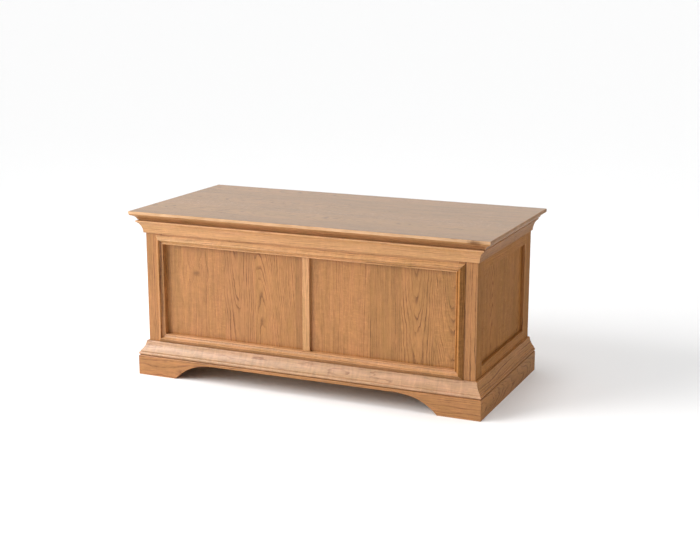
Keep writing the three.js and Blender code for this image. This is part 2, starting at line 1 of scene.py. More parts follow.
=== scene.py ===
"""Oak blanket chest: the finished surfaces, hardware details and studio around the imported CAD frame.

Every wooden node is reshaped from its own CAD solid (clean faces, eased arrises) and carries the
coordinates of the log that each of its boards was sawn from, so that one procedural oak gives rings,
pores, rays and knots that run correctly round every corner. Metres, +Z up, front towards -Y.
"""
import math
import json
import random
from collections import namedtuple

import bmesh
import bpy
from mathutils import Matrix, Vector

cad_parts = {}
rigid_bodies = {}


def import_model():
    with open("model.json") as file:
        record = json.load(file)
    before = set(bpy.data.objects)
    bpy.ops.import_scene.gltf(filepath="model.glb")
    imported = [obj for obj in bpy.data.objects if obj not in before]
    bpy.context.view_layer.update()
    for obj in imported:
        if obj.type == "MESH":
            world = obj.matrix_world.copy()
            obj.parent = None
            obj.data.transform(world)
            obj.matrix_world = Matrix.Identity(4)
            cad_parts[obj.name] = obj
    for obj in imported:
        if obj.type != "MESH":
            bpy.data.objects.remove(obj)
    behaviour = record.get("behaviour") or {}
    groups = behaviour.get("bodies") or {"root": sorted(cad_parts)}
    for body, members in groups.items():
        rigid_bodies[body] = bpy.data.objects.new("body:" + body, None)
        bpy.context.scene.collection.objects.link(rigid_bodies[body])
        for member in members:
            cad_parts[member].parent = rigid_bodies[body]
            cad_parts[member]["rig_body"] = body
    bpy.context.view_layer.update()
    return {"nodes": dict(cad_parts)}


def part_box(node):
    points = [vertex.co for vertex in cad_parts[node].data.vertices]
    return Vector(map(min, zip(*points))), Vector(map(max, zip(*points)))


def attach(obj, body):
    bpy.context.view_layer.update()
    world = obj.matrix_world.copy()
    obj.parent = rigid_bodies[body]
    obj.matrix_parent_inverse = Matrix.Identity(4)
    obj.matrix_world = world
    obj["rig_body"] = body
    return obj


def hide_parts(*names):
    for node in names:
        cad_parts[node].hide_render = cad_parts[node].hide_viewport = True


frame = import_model()

MM = 0.001
X, Y, Z = 0, 1, 2
WELD = 0.01 * MM
ARRIS_ANGLE = math.radians(32)      # edges sharper than this are eased
FLAT_ANGLE = math.radians(0.4)      # faces closer than this are one flat face
FACE_WEIGHT = 60                    # how far large faces rule the shading normals
# How nearly a face must look in a direction (the dot product) to lie flat along it, to carry the
# painted highlight, and to carry painted shade.
FLAT_ENOUGH, HIGHLIGHT_ENOUGH, SHADED_ENOUGH = 0.98, 0.82, 0.5
HIGHLIGHT_SIDE = Vector((0, -0.96, 0.28))   # the lid's edges carry a painted highlight where they look this way

# ---- Studio -------------------------------------------------------------------------------------
CAMERA_PLACE = Vector((1.5887, -3.5126, 1.1942))
CAMERA_TARGET = Vector((0.0345, 0.0065, 0.2878))
CAMERA_LENS = 67.72                 # mm, on a sensor 36 mm wide
CAMERA_REACH = 300
# Soft lights: azimuth round to the left of the front and elevation, in degrees, then strength and the
# angle that the light's disc covers. The key is a disc near enough to fall off across the chest.
LIGHTS = {
    "front": (50, 26, 1.3, 30),
    "front_fill": (34, 8, 0.55, 40),
    "overhead": (0, 88, 1.45, 35),
}
KEY = {"azimuth": 56, "elevation": 30, "distance": 2.7, "power": 42, "size": 2.0}
WORLD_LIGHT = 0.28
BACKDROP_LIGHT = 0.95
FLOOR_HALF = 70
FLOOR_TONE = (0.96, 0.96, 0.96)

# ---- Boards -------------------------------------------------------------------------------------
# A board is sawn from a log. pith is where the middle of the log lies: (across the board from the
# board's own middle, below its show face); tilt says how far it wanders per metre of length; rings is
# the width of a year's growth; tone is (lightness, redness) and rays how much of the ray figure shows.
Board = namedtuple("Board", "low high pith tilt rings tone rays")
PITH_UNIT = 4.0                     # the shader's rings are this many units wide
BOARD_SHIFT = 100                   # metres between two boards' places in the log


def sawn(rng, low, high, cut):
    """A board from low to high across, cut flat, rift or quarter from a random log."""
    side = rng.choice((-1, 1))
    if cut == "flat":
        pith = (rng.uniform(-0.2, 0.2) * (high - low), rng.uniform(25, 60) * MM)
        tilt = (rng.uniform(-0.01, 0.01), side * rng.uniform(0.05, 0.11))
        rays = 0.1
    elif cut == "rift":
        pith = (side * rng.uniform(50, 90) * MM, rng.uniform(50, 90) * MM)
        tilt = (rng.uniform(-0.012, 0.012), rng.uniform(-0.012, 0.012))
        rays = 0.3
    else:
        pith = (side * rng.uniform(90, 150) * MM, rng.uniform(-10, 10) * MM)
        tilt = (rng.uniform(-0.012, 0.012), rng.uniform(-0.012, 0.012))
        rays = 0.9
    tone = (rng.uniform(-0.07, 0.07), rng.uniform(-0.5, 0.5))
    return Board(low, high, pith, tilt, rng.uniform(3.0, 4.6) * MM, tone, rays)


def glued(rng, edges, cuts):
    """Boards between the given edges, one cut for each."""
    return [sawn(rng, a, b, cut) for a, b, cut in zip(edges, edges[1:], cuts)]


# The two front panels, board by board.
LEFT_PANEL = [
    Board(-0.480, -0.388, (-0.110, 0.010), (0.010, 0.0), 0.0032, (0.00, 0.1), 0.6),
    Board(-0.388, -0.316, (0.120, 0.020), (-0.012, 0.0), 0.0036, (-0.05, 0.2), 0.6),
    Board(-0.316, -0.262, (0.130, -0.010), (0.010, 0.0), 0.0034, (-0.05, 0.0), 1.0),
    Board(-0.262, -0.161, (-0.006, 0.022), (0.040, -0.035), 0.0058, (-0.07, 0.6), 0.1),
    Board(-0.161, -0.030, (-0.046, 0.030), (0.030, 0.085), 0.0042, (-0.02, -0.1), 0.1),
    Board(-0.030, 0.030, (0.100, 0.0), (0.0, 0.0), 0.0030, (-0.18, -0.3), 0.2),
]
# The right panel's boards are darker, partly their own tone and partly painted shade where the front
# falls away from the light.
RIGHT_PANEL = [
    Board(0.000, 0.118, (-0.130, 0.010), (0.012, 0.0), 0.0034, (0.02, 0.3), 0.7),
    Board(0.118, 0.200, (0.120, 0.0), (-0.010, 0.0), 0.0036, (0.01, 0.2), 0.9),
    Board(0.200, 0.294, (-0.110, 0.030), (0.010, 0.0), 0.0028, (-0.12, -1.1), 0.3),
    Board(0.294, 0.392, (-0.004, 0.020), (0.010, -0.095), 0.0064, (-0.09, -0.9), 0.1),
    Board(0.392, 0.480, (0.010, 0.040), (0.030, -0.090), 0.0044, (-0.11, -1.1), 0.9),
]
# Lightness of the pieces that stand out from their neighbours: partly their own tone, partly painted
# light and shade (the top rail, muntin, top moulding and front cornice lightened where they catch the
# light, the right cornice darkened in shade).
TONES = {
    "muntin_front": 0.08,
    "rail_front_top": 0.15,
    "panel_moulding_top": 0.13,
    "panel_moulding_bottom": 0.02,
    "panel_moulding_right": 0.02,
    "cornice_front": 0.10,
    "cornice_right": -0.16,
    "plinth_front": -0.05,
    "post_front_left": -0.09,
    "post_front_right": -0.06,
}
# Painted shade: edges and slopes that are darkened where they look this way, the sides that turn from
# the light.
PAINTED_SHADE_SIDES = {
    "lid": Vector((1, 0, 0)),
    "panel_moulding_bottom": Vector((0, 0, -1)),
    "panel_moulding_right": Vector((1, 0, 0)),
}
PAINTED_SHADE = 0.28
LID_EDGES = [-0.280, -0.190, -0.098, -0.004, 0.086, 0.178, 0.280]
LID_CUTS = ["rift", "flat", "quarter", "flat", "rift", "flat"]


# ---- Mesh building ------------------------------------------------------------------------------
def across_and_depth(along, show):
    """The axis across a board and the axis through it, given its grain and its show face's axis."""
    return 3 - along - show, show


def write_grain(mesh, along, show, face_at, boards, shaded_side=None):
    """Stores, at each face corner, the log coordinates and the tone of the board it belongs to. Slopes
    that look towards the given shaded side are darkened with painted shade."""
    across, depth = across_and_depth(along, show)
    for name in ("grain", "tone"):
        mesh.attributes.new(name, "FLOAT_VECTOR", "CORNER")
    grain, tone = (mesh.attributes[name] for name in ("grain", "tone"))
    points = [v.co.copy() for v in mesh.vertices]
    middle = sum((p[along] for p in points)) / len(points)
    for face in mesh.polygons:
        place = face.center[across]
        board = next((b for b in boards if b.low <= place < b.high), boards[-1])
        shift = BOARD_SHIFT * (1 + boards.index(board)) + 37 * len(mesh.polygons) % 91
        unit = PITH_UNIT / board.rings
        centre = (board.low + board.high) / 2 + board.pith[0]
        # painted shade: faces that look towards the shaded side are darkened
        shade_here = PAINTED_SHADE if shaded_side and face.normal.dot(shaded_side) > SHADED_ENOUGH else 0
        for corner in face.loop_indices:
            p = points[mesh.loops[corner].vertex_index]
            run = p[along] - middle
            grain.data[corner].vector = (
                (p[along] + shift) / MM,
                (p[across] - centre + board.tilt[0] * run) * unit,
                (abs(p[depth] - face_at) + board.pith[1] + board.tilt[1] * run) * unit,
            )
            tone.data[corner].vector = (board.tone[0] - shade_here, board.tone[1], board.rays)


def clean_solid(node):
    """The CAD solid with shared vertices and one face to each flat."""
    solid = bmesh.new()
    solid.from_mesh(frame["nodes"][node].data)
    bmesh.ops.remove_doubles(solid, verts=solid.verts, dist=WELD)
    bmesh.ops.dissolve_limit(
        solid, angle_limit=FLAT_ANGLE, verts=solid.verts, edges=solid.edges
    )
    return solid


def ease(solid, arris):
    """Rounds every arris over; the new faces are marked by material index 1."""
    sharp = [e for e in solid.edges if e.is_manifold and e.calc_face_angle() > ARRIS_ANGLE]
    if sharp and arris:
        bmesh.ops.bevel(
            solid, geom=sharp, offset=arris, offset_type="OFFSET", segments=2, profile=0.5,
            affect="EDGES", clamp_overlap=True, loop_slide=True, material=1,
        )


def finish_mesh(solid, name, flat_normal=None, highlight_side=None):
    """Turns the solid into a smooth-shaded mesh whose arrises are marked to be lightened, partly as
    wear and partly as painted highlight. If flat_normal is given, only the faces that lie flat along it
    keep the first material, and the rest carry the same mark, as a painted highlight, where they look
    towards the given highlight side."""
    mesh = bpy.data.meshes.new(name)
    bmesh.ops.recalc_face_normals(solid, faces=solid.faces)
    solid.to_mesh(mesh)
    solid.free()
    wear_and_highlight = mesh.attributes.new("wear_and_highlight", "FLOAT", "CORNER")
    for face in mesh.polygons:
        for corner in face.loop_indices:
            wear_and_highlight.data[corner].value = face.material_index
        on_edge = flat_normal is not None and abs(face.normal.dot(flat_normal)) < FLAT_ENOUGH
        # painted highlight on the edge faces that look towards the highlight side
        if on_edge and highlight_side and face.normal.dot(highlight_side) > HIGHLIGHT_ENOUGH:
            for corner in face.loop_indices:
                wear_and_highlight.data[corner].value = 1
        face.material_index = int(on_edge)
        face.use_smooth = True
    return mesh


def place(name, mesh, materials, body, slot):
    """A piece of the chest that rides on a body."""
    for material in materials:
        mesh.materials.append(material)
    piece = bpy.data.objects.new(name, mesh)
    bpy.context.scene.collection.objects.link(piece)
    weighted = piece.modifiers.new("even_normals", "WEIGHTED_NORMAL")
    weighted.weight = FACE_WEIGHT
    weighted.keep_sharp = True
    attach(piece, body)
    return piece


def body_of_node(node):
    return frame["nodes"][node]["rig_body"]


def wooden(node, material, slot, along, show, boards, arris=0.7 * MM, edge_material=None,
           highlight_side=None):
    """Replaces a CAD node with the same solid, its arrises eased and its boards marked out."""
    low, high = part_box(node)
    across, depth = across_and_depth(along, show)
    solid = clean_solid(node)
    for board in boards[1:]:
        cut_at, normal = Vector((0, 0, 0)), Vector((0, 0, 0))
        cut_at[across], normal[across] = board.low, 1
        bmesh.ops.bisect_plane(
            solid, geom=list(solid.verts) + list(solid.edges) + list(solid.faces),
            dist=WELD, plane_co=cut_at, plane_no=normal,
        )
    ease(solid, arris)
    materials = [material, edge_material] if edge_material else [material]
    facing = Vector((0, 0, 0))
    facing[show] = 1
    mesh = finish_mesh(solid, node + "_shaped", facing if edge_material else None, highlight_side)
    outside = low if abs(low[depth]) > abs(high[depth]) else high
    write_grain(mesh, along, show, outside[depth], boards, PAINTED_SHADE_SIDES.get(node))
    piece = place(node + "_shaped", mesh, materials, body_of_node(node), slot)
    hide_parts(node)
    return piece


def single(node, material, slot, along, show, cut, arris=0.7 * MM, edge_material=None):
    """wooden() for a piece made of one board, sawn at random."""
    rng = random.Random(node)
    low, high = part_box(node)
    across, _ = across_and_depth(along, show)
    board = sawn(rng, low[across] - MM, high[across] + MM, cut)
    if node in TONES:
        board = board._replace(tone=(TONES[node], board.tone[1]))
    return wooden(node, material, slot, along, show, [board], arris, edge_material)


def metalwork(node, material, slot, arris=0.25 * MM):
    """Replaces a CAD node of the hardware with the same solid, its edges broken."""
    solid = clean_solid(node)
    ease(solid, arris)
    piece = place(node + "_shaped", finish_mesh(solid, node + "_shaped"), [material],
                  body_of_node(node), slot)
    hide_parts(node)
    return piece


# ---- Node helpers -------------------------------------------------------------------------------
def connect(tree, sockets, values):
    for socket, given in zip(sockets, values):
        if isinstance(given, bpy.types.NodeSocket):
            tree.links.new(given, socket)
        elif given is not None:
            socket.default_value = given


def calc(tree, operation, *values, clamp=False):
    made = tree.nodes.new("ShaderNodeMath")
    made.operation = operation
    made.use_clamp = clamp
    connect(tree, made.inputs, values)
    return made.outputs[0]


def vector(tree, operation, *values):
    made = tree.nodes.new("ShaderNodeVectorMath")
    made.operation = operation
    connect(tree, made.inputs, values)
    return made.outputs["Value" if operation in ("LENGTH", "DISTANCE") else "Vector"]


def ramp(tree, source, low, high, to_low=0.0, to_high=1.0, smooth=True):
    """source from low..high taken to to_low..to_high, held beyond the ends."""
    made = tree.nodes.new("ShaderNodeMapRange")
    made.interpolation_type = "SMOOTHSTEP" if smooth else "LINEAR"
    connect(tree, made.inputs, (source, low, high, to_low, to_high))
    return made.outputs[0]


def noise(tree, place, size, detail=2.0, roughness=0.5, distortion=0.0):
    """Noise whose features are size = (along, across, through) long, about 0.5."""
    made = tree.nodes.new("ShaderNodeTexNoise")
    scaled = vector(tree, "MULTIPLY", place, tuple(1 / s for s in size))
    tree.links.new(scaled, made.inputs["Vector"])
    made.inputs["Scale"].default_value = 1.0
    made.inputs["Detail"].default_value = detail
    made.inputs["Roughness"].default_value = roughness
    made.inputs["Distortion"].default_value = distortion
    return made.outputs[0]


def blend(tree, factor, a, b, mode="MIX"):
    made = tree.nodes.new("ShaderNodeMix")
    made.data_type = "RGBA"
    made.blend_type = mode
    connect(tree, (made.inputs[0], made.inputs[6], made.inputs[7]), (factor, a, b))
    return made.outputs[2]


def attribute(tree, name):
    made = tree.nodes.new("ShaderNodeAttribute")
    made.attribute_name = name
    return made


def new_material(name):
    material = bpy.data.materials.new(name)
    material.use_nodes = True
    tree = material.node_tree
    shader = next(n for n in tree.nodes if n.type == "BSDF_PRINCIPLED")
    return material, tree, shader


def bump(tree, shader, height, depth, strength=1.0):
    made = tree.nodes.new("ShaderNodeBump")
    made.inputs["Strength"].default_value = strength
    made.inputs["Distance"].default_value = depth
    tree.links.new(height, made.inputs["Height"])
    tree.links.new(made.outputs[0], shader.inputs["Normal"])


# ---- Oak ----------------------------------------------------------------------------------------
Knot = namedtuple("Knot", "place radius stretch darkness")
Palette = namedtuple("Palette", "late early pore")
FINISHED = Palette((0.418, 0.193, 0.061, 1), (0.170, 0.060, 0.015, 1), (0.070, 0.022, 0.005, 1))
# Paler and less saturated, partly the wood's own tone and partly painted sheen and light on the pieces
# that catch it.
PALE_AND_LIT_FINISH = Palette((0.500, 0.264, 0.112, 1), (0.250, 0.110, 0.036, 1), (0.095, 0.032, 0.009, 1))
# The base moulding: paler and greyer, partly its own tone and partly painted sheen on its upward slope.
BASE_AND_SHEEN_FINISH = Palette((0.478, 0.278, 0.150, 1), (0.300, 0.144, 0.066, 1), (0.120, 0.048, 0.016, 1))
# Painted shade: a darker, more saturated copy of the finished oak for the right side, which turns away
# from the light.
SHADED_SIDE_FINISH = Palette((0.380, 0.168, 0.043, 1), (0.165, 0.058, 0.012, 1), (0.072, 0.023, 0.005, 1))
LID_FINISH = Palette((0.320, 0.162, 0.046, 1), (0.125, 0.052, 0.013, 1), (0.060, 0.022, 0.006, 1))
# Painted highlight: the lid's edges are paler than its top.
LID_EDGE_HIGHLIGHT_FINISH = Palette((0.480, 0.258, 0.115, 1), (0.290, 0.130, 0.046, 1), (0.130, 0.050, 0.015, 1))
WEAR_AND_HIGHLIGHT_TONE = (0.840, 0.560, 0.350, 1)
INSIDE = Palette((0.50, 0.29, 0.125, 1), (0.38, 0.19, 0.072, 1), (0.20, 0.085, 0.028, 1))
KNOT_TONE = (0.110, 0.036, 0.009, 1)

# The grain's features: their sizes along the board, in millimetres, and across and through it, in
# quarters of a year's growth.
LONG_WANDER, WANDER, SHORT_WANDER = (300, 60, 60), (60, 15, 15), (14, 5, 5)
PATCH, BREAK = (150, 18, 18), (22, 3.2, 3.2)
PORE, STREAK, FIBRE = (16, 0.75, 0.75), (26, 1.9, 1.9), (70, 2.6, 2.6)
DRIFT, BLOTCH, WAVE = (420, 34, 34), (70, 26, 26), (13, 44, 44)
FLAKE, WEAR_AND_HIGHLIGHT_PATCH = (4.5, 17, 17), (60, 20, 20)
# How far the rings wander, in quarters of a year's growth, and swell round a knot.
LONG_REACH, REACH, SHORT_REACH, KNOT_SWELL = 22.0, 3.2, 0.9, 14.0
# How far the years stray from an even width, in years, and how often in a year that changes.
UNEVEN_YEARS, UNEVEN_RATE = 2.6, 0.31
# Parts of a year: the early wood opens at once and closes slowly.
EARLY_OPENS, EARLY_CLOSES = (0.0, 0.05), (0.06, 0.44)
# How strongly early wood, streaks and pores show.
EARLY_SHOWS, STREAKS_SHOW, PORES_SHOW = 1.12, 0.66, 0.72
# How much the features lighten the wood. Ripple is given for the rays and for the curl.
FIBRE_LIGHT, DRIFT_LIGHT, BLOTCH_LIGHT, FLAKE_LIGHT = 0.80, 0.40, 0.34, 0.16
RAY_RIPPLE, CURL_RIPPLE = 0.34, 0.20
# How much redness, drift and blotches swing the tint from golden to pink.
REDNESS_TINT, DRIFT_TINT, BLOTCH_TINT = 0.20, 0.8, 0.9
GOLDEN_TINT, PINK_TINT = (1.00, 1.01, 0.80, 1), (1.04, 0.95, 1.08, 1)
GRAIN_RELIEF = 0.16 * MM


def oak(name, palette, polish, coat, knots=(), curl=0.5, sheen=0.5, edge_lightening=0.5):
    """Oak in the coordinates of the log: rings round the pith, open pores in each ring's early wood,
    rays where the saw ran along them, and slow changes of tone. polish is the mean roughness, sheen the
    specular level, and the last argument how far the edges are lightened, partly as worn finish and
    partly as painted highlight."""
    material, tree, shader = new_material(name)
    log = attribute(tree, "grain").outputs["Vector"]
    tones = tree.nodes.new("ShaderNodeSeparateXYZ")
    tree.links.new(attribute(tree, "tone").outputs["Vector"], tones.inputs[0])
    lightness, redness, rays = tones.outputs

    def field(size, detail=2.0, roughness=0.5, distortion=0.0):
        """Noise along the grain, about zero."""
        return calc(tree, "SUBTRACT", noise(tree, log, size, detail, roughness, distortion), 0.5)

    swell, core = None, None
    if knots:
        where = tree.nodes.new("ShaderNodeTexCoord").outputs["Object"]
        rough = noise(tree, where, (7 * MM,) * 3, 3.0)
        for knot in knots:
            offset = vector(tree, "SUBTRACT", where, knot.place)
            offset = vector(tree, "DIVIDE", offset, tuple(knot.radius * s for s in knot.stretch))
            reach = vector(tree, "LENGTH", offset)
            uneven = calc(tree, "ADD", reach, calc(tree, "SUBTRACT", rough, 0.5))
            one_core = ramp(tree, uneven, 0.10, 1.30, knot.darkness, 0.0)
            one_swell = ramp(tree, reach, 0.4, 5.0, 1.0, 0.0)
            core = one_core if core is None else calc(tree, "MAXIMUM", core, one_core)
            swell = one_swell if swell is None else calc(tree, "MAXIMUM", swell, one_swell)

    # Rings: the distance from the pith, wandering along the board.
    flat = vector(tree, "MULTIPLY", log, (0.0, 1.0, 1.0))
    radius = vector(tree, "LENGTH", flat)
    radius = calc(tree, "MULTIPLY_ADD", field(LONG_WANDER), LONG_REACH, radius)
    radius = calc(tree, "MULTIPLY_ADD", field(WANDER), REACH, radius)
    radius = calc(tree, "MULTIPLY_ADD", field(SHORT_WANDER), SHORT_REACH, radius)
    if swell is not None:
        radius = calc(tree, "MULTIPLY_ADD", swell, KNOT_SWELL, radius)
    rings = calc(tree, "DIVIDE", radius, PITH_UNIT)
    uneven_years = tree.nodes.new("ShaderNodeTexNoise")
    uneven_years.noise_dimensions = "1D"
    tree.links.new(rings, uneven_years.inputs["W"])
    uneven_years.inputs["Scale"].default_value = UNEVEN_RATE
    uneven_years.inputs["Detail"].default_value = 1.0
    rings = calc(tree, "MULTIPLY_ADD", uneven_years.outputs[0], UNEVEN_YEARS, rings)
    year = calc(tree, "FRACT", rings)
    opening = ramp(tree, year, *EARLY_OPENS)
    closing = ramp(tree, year, *EARLY_CLOSES, 1.0, 0.0)
    early = calc(tree, "MULTIPLY", opening, closing)

    # Some years and some stretches of the board show much more strongly than others.
    patchy = ramp(tree, noise(tree, log, PATCH, 3.0), 0.36, 0.62, 0.25, 1.0)
    broken = ramp(tree, noise(tree, log, BREAK, 3.0, 0.6), 0.36, 0.60, 0.45, 1.0)
    early = calc(tree, "MULTIPLY", early, calc(tree, "MULTIPLY", patchy, broken))

    # Pores: short dark dashes, mostly in the early wood.
    dashes = ramp(tree, noise(tree, log, PORE, 2.0, 0.6), 0.54, 0.70)
    pores = calc(tree, "MULTIPLY", dashes, calc(tree, "MULTIPLY_ADD", early, 0.85, 0.15))
    streaks = ramp(tree, noise(tree, log, STREAK, 3.0, 0.62), 0.50, 0.68)
    streaks = calc(tree, "MULTIPLY", streaks, calc(tree, "MULTIPLY_ADD", early, 0.6, 0.4))

    fibre = field(FIBRE, 4.0, 0.65)
    drift = field(DRIFT, 3.0)
    blotch = field(BLOTCH, 3.0, 0.55, 0.4)
    wave = field(WAVE, 3.0, 0.55, 0.8)
    flake = ramp(tree, noise(tree, log, FLAKE, 3.0, 0.6, 0.9), 0.52, 0.68)
    flake = calc(tree, "MULTIPLY", flake, rays)

    ringed = calc(tree, "MULTIPLY", early, EARLY_SHOWS, clamp=True)
    colour = blend(tree, ringed, palette.late, palette.early)
    colour = blend(tree, calc(tree, "MULTIPLY", streaks, STREAKS_SHOW), colour, palette.early)
    colour = blend(tree, calc(tree, "MULTIPLY", pores, PORES_SHOW), colour, palette.pore)
    warm = calc(tree, "MULTIPLY", drift, DRIFT_TINT)
    warm = calc(tree, "MULTIPLY_ADD", redness, REDNESS_TINT, warm)
    warm = calc(tree, "MULTIPLY_ADD", blotch, BLOTCH_TINT, warm)
    warm = calc(tree, "ADD", warm, 0.5, clamp=True)
    golden = blend(tree, 1.0, colour, GOLDEN_TINT, "MULTIPLY")
    pink = blend(tree, 1.0, colour, PINK_TINT, "MULTIPLY")
    colour = blend(tree, warm, golden, pink)
    light = calc(tree, "ADD", 1.0, lightness)
    light = calc(tree, "MULTIPLY_ADD", fibre, FIBRE_LIGHT, light)
    light = calc(tree, "MULTIPLY_ADD", drift, DRIFT_LIGHT, light)
    light = calc(tree, "MULTIPLY_ADD", blotch, BLOTCH_LIGHT, light)
    rippled = calc(tree, "MULTIPLY_ADD", rays, RAY_RIPPLE, CURL_RIPPLE * curl)
    light = calc(tree, "ADD", calc(tree, "MULTIPLY", wave, rippled), light)
    light = calc(tree, "MULTIPLY_ADD", flake, FLAKE_LIGHT, light)
    spread = tree.nodes.new("ShaderNodeCombineXYZ")
    connect(tree, spread.inputs, (light, light, light))
    colour = blend(tree, 1.0, colour, spread.outputs[0], "MULTIPLY")

    # The edges are lightened in places, partly as worn finish and partly as painted highlight, and
    # knots are darkest of all.
    wear_and_highlight = attribute(tree, "wear_and_highlight").outputs["Fac"]
    wear_and_highlight_patches = noise(tree, log, WEAR_AND_HIGHLIGHT_PATCH, 3.0)
    lightened = calc(tree, "MULTIPLY", calc(tree, "MULTIPLY", wear_and_highlight, wear_and_highlight_patches), edge_lightening, clamp=True)
    colour = blend(tree, lightened, colour, WEAR_AND_HIGHLIGHT_TONE)
    if core is not None:
        colour = blend(tree, core, colour, KNOT_TONE)
    tree.links.new(colour, shader.inputs["Base Color"])

    gloss = calc(tree, "MULTIPLY_ADD", pores, 0.20, polish)
    gloss = calc(tree, "MULTIPLY_ADD", flake, -0.07, gloss)
    gloss = calc(tree, "MULTIPLY_ADD", fibre, 0.12, gloss, clamp=True)
    tree.links.new(gloss, shader.inputs["Roughness"])
    shader.inputs["IOR"].default_value = 1.5
    shader.inputs["Specular IOR Level"].default_value = sheen
    shader.inputs["Coat Weight"].default_value = coat
    shader.inputs["Coat Roughness"].default_value = 0.22
    height = calc(tree, "MULTIPLY", pores, -1.0)
    height = calc(tree, "MULTIPLY_ADD", early, -0.25, height)
    height = calc(tree, "MULTIPLY_ADD", fibre, 0.5, height)
    height = calc(tree, "MULTIPLY_ADD", wave, 0.9 * curl, height)
    bump(tree, shader, height, GRAIN_RELIEF, 0.8)
    return material


# ---- Metal and felt -----------------------------------------------------------------------------
BRASS_BRIGHT, BRASS_DULL = (0.66, 0.46, 0.19, 1), (0.42, 0.27, 0.10, 1)
STEEL_BRIGHT, STEEL_DULL = (0.60, 0.60, 0.58, 1), (0.42, 0.42, 0.41, 1)
FELT_DARK, FELT_LIGHT = (0.020, 0.012, 0.008, 1), (0.062, 0.040, 0.028, 1)


def metal(name, bright, dull, roughness, brushed):
    """Metal with brushing, handling marks and tarnish; brushed is the size of its scratches."""
    material, tree, shader = new_material(name)
    where = tree.nodes.new("ShaderNodeTexCoord").outputs["Object"]
    scratches = noise(tree, where, brushed, 2.0, 0.6)
    tarnish = noise(tree, where, (9 * MM,) * 3, 4.0, 0.6)
    stains = ramp(tree, tarnish, 0.40, 0.66)
    colour = blend(tree, stains, bright, dull)
    tree.links.new(colour, shader.inputs["Base Color"])
    rough = calc(tree, "MULTIPLY_ADD", scratches, 0.18, roughness)
    rough = calc(tree, "MULTIPLY_ADD", stains, 0.14, rough, clamp=True)
    tree.links.new(rough, shader.inputs["Roughness"])
    shader.inputs["Metallic"].default_value = 1.0
    bump(tree, shader, scratches, 0.03 * MM, 0.5)
    return material


def felt_cloth():
    """Dark felt: matt, with short uneven hairs."""
    material, tree, shader = new_material("dark_felt")
    where = tree.nodes.new("ShaderNodeTexCoord").outputs["Object"]
    hairs = noise(tree, where, (0.5 * MM,) * 3, 4.0, 0.7, 1.2)
    colour = blend(tree, ramp(tree, hairs, 0.35, 0.65), FELT_DARK, FELT_LIGHT)
    tree.links.new(colour, shader.inputs["Base Color"])
    tree.links.new(calc(tree, "MULTIPLY_ADD", hairs, 0.1, 0.88), shader.inputs["Roughness"])
    shader.inputs["Sheen Weight"].default_value = 0.5
    shader.inputs["Sheen Roughness"].default_value = 0.5
    bump(tree, shader, hairs, 0.2 * MM)
    return material


PANEL_KNOT = Knot((-0.355, -0.2315, 0.322), 0.0100, (1.4, 1.0, 1.0), 0.55)
LID_KNOT = Knot((0.515, -0.2700, 0.4930), 0.0090, (2.6, 1.0, 1.0), 0.75)

frame_oak = oak("oak_frame", FINISHED, 0.44, 0.04, sheen=0.4)
# Painted shade: the right side is a darker copy of the frame oak, for the side that turns from the
# light, with nearly no gloss; the mouldings that turn away from the light have nearly no gloss either.
shaded_side_oak = oak("oak_side", SHADED_SIDE_FINISH, 0.50, 0.0, sheen=0.03)
panel_oak = oak("oak_panel", FINISHED, 0.44, 0.04, [PANEL_KNOT], sheen=0.4)
lid_oak = oak("oak_lid", LID_FINISH, 0.36, 0.30, [LID_KNOT])
# The lid's edges take the paler palette as a painted highlight; their right end is darkened with
# painted shade.
lid_edge_highlight_oak = oak("oak_lid_edge", LID_EDGE_HIGHLIGHT_FINISH, 0.42, 0.0, [LID_KNOT], sheen=0.08, edge_lightening=0.85)
moulding_oak = oak("oak_moulding", FINISHED, 0.40, 0.12, curl=0.8, sheen=0.4, edge_lightening=0.8)
side_moulding_oak = oak("oak_side_moulding", FINISHED, 0.46, 0.0, curl=0.8, sheen=0.08)
pale_and_lit_oak = oak("oak_pale", PALE_AND_LIT_FINISH, 0.42, 0.08, curl=0.8, sheen=0.4, edge_lightening=0.8)
base_oak = oak("oak_base", BASE_AND_SHEEN_FINISH, 0.36, 0.20, curl=2.8)
plain_oak = oak("sanded_boards", INSIDE, 0.62, 0.0)
brass = metal("satin_brass", BRASS_BRIGHT, BRASS_DULL, 0.26, (0.2 * MM, 4 * MM, 4 * MM))
steel = metal("zinc_steel", STEEL_BRIGHT, STEEL_DULL, 0.30, (3 * MM, 0.2 * MM, 3 * MM))
felt = felt_cloth()


# ---- Woodwork -----------------------------------------------------------------------------------
for end in ("front", "rear"):
    for side in ("left", "right"):
        outer = shaded_side_oak if side == "right" else None
        single(f"post_{end}_{side}", frame_oak, "oak", Z, Y, "rift", 0.9 * MM, outer)

for end in ("front", "rear"):
    single(f"rail_{end}_top", pale_and_lit_oak, "oak", X, Y, "rift", 0.35 * MM)
    single(f"rail_{end}_bottom", frame_oak, "oak", X, Y, "rift", 0.35 * MM)
    single(f"muntin_{end}", pale_and_lit_oak, "oak", Z, Y, "rift", 0.6 * MM)
for side in ("left", "right"):
    for level in ("top", "bottom"):
        finish = shaded_side_oak if side == "right" else frame_oak
        single(f"rail_{side}_{level}", finish, "oak", Y, X, "rift", 0.35 * MM)

